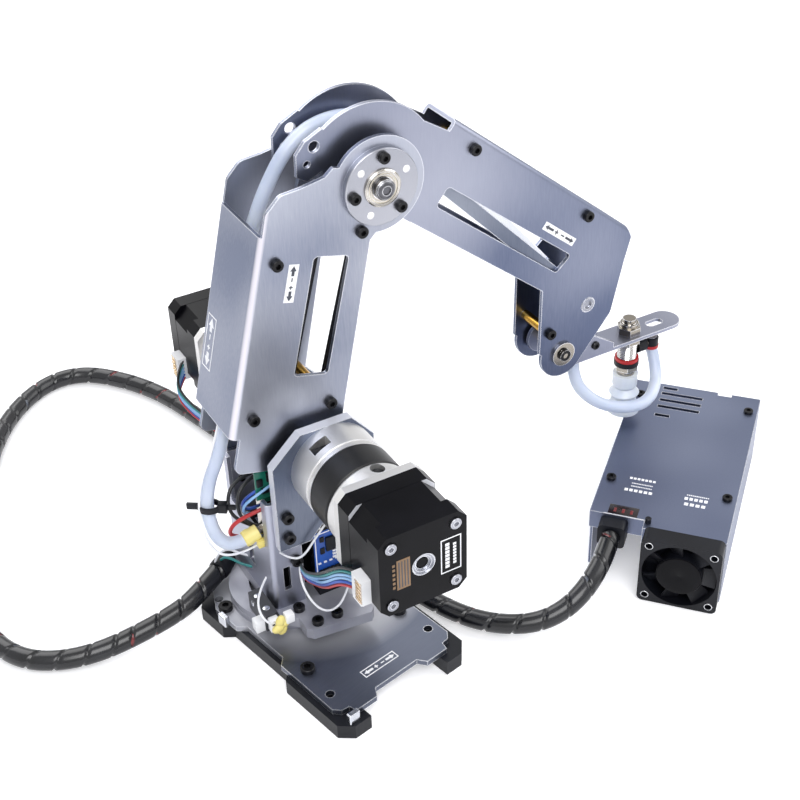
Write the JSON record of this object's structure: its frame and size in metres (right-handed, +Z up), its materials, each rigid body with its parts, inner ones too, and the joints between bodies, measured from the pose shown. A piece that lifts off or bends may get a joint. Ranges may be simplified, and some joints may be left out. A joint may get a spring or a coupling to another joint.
{
  "type": "desktop robot arm",
  "caption": "Desktop robot arm with geared stepper motors, a turntable, folded metal links, levelling rods, a suction cup and a cabled controller with a fan.",
  "frame": {"origin": "middle of the four bench holes of the base, on the floor under the feet", "axes": "+Z up, +X across the base towards the arm's reach, +Y along the base towards its rear"},
  "size_m": [0.4035, 0.4163, 0.265],
  "materials": {
    "black_plastic": "matte",
    "silver_sheet": "satin",
    "grey_sheet": "satin",
    "black_screw": "satin",
    "steel": "polished",
    "machined_aluminium": "satin",
    "black_motor": "satin",
    "black_steel": "satin",
    "white_plastic": "matte",
    "blue_board": "satin",
    "brass": "polished",
    "nickel": "polished",
    "clear_silicone": "satin",
    "white_tube": "satin",
    "black_conduit": "satin"
  },
  "bodies": {
    "base": {"skid_rails": "black_plastic", "base_plate": "silver_sheet", "base_screws": "black_screw", "base_tabs": "steel", "turntable_ring": "machined_aluminium", "harness": "black_conduit", "controller_cover": "grey_sheet", "lid_screws": "black_screw", "controller_board": "blue_board", "harness_gland": "black_plastic", "fan_frame": "black_plastic"},
    "fan_rotor": {"fan_rotor": "black_plastic"},
    "turret": {"turret_floor": "machined_aluminium", "turret_bracket": "grey_sheet", "near_motor_plate": "silver_sheet", "far_motor_plate": "silver_sheet", "turret_screws": "black_screw", "yaw_motor": "black_motor", "near_gear_case": "machined_aluminium", "far_gear_case": "machined_aluminium", "gear_rings": "black_steel", "motor_adapters": "machined_aluminium", "near_motor": "black_motor", "far_motor": "black_motor", "motor_plugs": "white_plastic", "motor_screws": "steel", "driver_board": "blue_board", "limit_switch": "black_plastic", "air_valve": "nickel", "level_anchor": "steel", "harness_tail": "black_conduit", "air_tube_shoulder": "white_tube"},
    "upper_arm": {"upper_arm_channel": "grey_sheet", "upper_arm_spacers": "steel", "upper_arm_screws": "black_screw", "elbow_discs": "machined_aluminium", "elbow_bearings": "steel", "elbow_axle": "black_screw", "shoulder_hub": "steel", "shoulder_bushing": "brass", "drive_belt": "black_plastic", "air_tube_upper": "white_tube"},
    "elbow_triangle": {"elbow_triangle": "steel"},
    "forearm": {"forearm_channel": "grey_sheet", "forearm_spacers": "steel", "forearm_screws": "black_screw", "forearm_bushes": "brass", "forearm_pulley": "machined_aluminium", "wrist_axle": "steel", "air_tube_forearm": "white_tube"},
    "wrist": {"wrist_bracket": "steel", "tool_stem": "nickel", "tool_nuts": "nickel", "suction_cup": "clear_silicone", "air_tube_wrist": "white_tube"},
    "level_rod": {"level_rod": "steel"},
    "wrist_rod": {"wrist_rod": "steel"},
    "drive_pulley": {"drive_pulley": "machined_aluminium"}
  },
  "joints": [
    {"name": "turret_yaw", "type": "hinge", "parent": "base", "child": "turret", "pos_m": [0, 0.026, 0.02], "axis": [0, 0, 1], "range_deg": [-100, 100], "deforming": ["harness_tail"]},
    {"name": "shoulder", "type": "hinge", "parent": "turret", "child": "upper_arm", "pos_m": [0.01467, 0.02288, 0.105], "axis": [0.2079, 0.9781, 0], "range_deg": [-20, 5], "deforming": ["air_tube_shoulder"]},
    {"name": "elbow_level", "type": "hinge", "parent": "upper_arm", "child": "elbow_triangle", "pos_m": [0.04895, 0.0156, 0.23148], "axis": [0.2079, 0.9781, 0], "range_deg": [-5, 20], "deforming": ["air_tube_upper"]},
    {"name": "forearm_lift", "type": "hinge", "parent": "elbow_triangle", "child": "forearm", "pos_m": [0.04895, 0.0156, 0.23148], "axis": [0.2079, 0.9781, 0], "range_deg": [-35, 15], "deforming": ["air_tube_forearm"]},
    {"name": "wrist_level", "type": "hinge", "parent": "forearm", "child": "wrist", "pos_m": [0.1525, -0.00641, 0.10513], "axis": [0.2079, 0.9781, 0], "range_deg": [-15, 35], "deforming": ["air_tube_wrist"]},
    {"name": "wrist_rod_swing", "type": "hinge", "parent": "elbow_triangle", "child": "wrist_rod", "pos_m": [0.06753, 0.01165, 0.24968], "axis": [0.2079, 0.9781, 0], "range_deg": [-35, 15]},
    {"name": "level_rod_swing", "type": "hinge", "parent": "turret", "child": "level_rod", "pos_m": [-0.00968, 0.02806, 0.1145], "axis": [0.2079, 0.9781, 0], "range_deg": [-20, 5]},
    {"name": "pulley_turn", "type": "hinge", "parent": "turret", "child": "drive_pulley", "pos_m": [0.01467, 0.02288, 0.105], "axis": [0.2079, 0.9781, 0], "range_deg": [-35, 15]},
    {"name": "fan_spin", "type": "hinge", "parent": "base", "child": "fan_rotor", "pos_m": [0.14391, -0.10788, 0.0202], "axis": [-0.8746, -0.4848, 0], "continuous": true}
  ],
  "couplings": [
    {"joint": "elbow_level", "follows": "shoulder", "ratio": -1},
    {"joint": "level_rod_swing", "follows": "shoulder", "ratio": 1},
    {"joint": "wrist_level", "follows": "forearm_lift", "ratio": -1},
    {"joint": "wrist_rod_swing", "follows": "forearm_lift", "ratio": 1},
    {"joint": "pulley_turn", "follows": "forearm_lift", "ratio": 1}
  ]
}
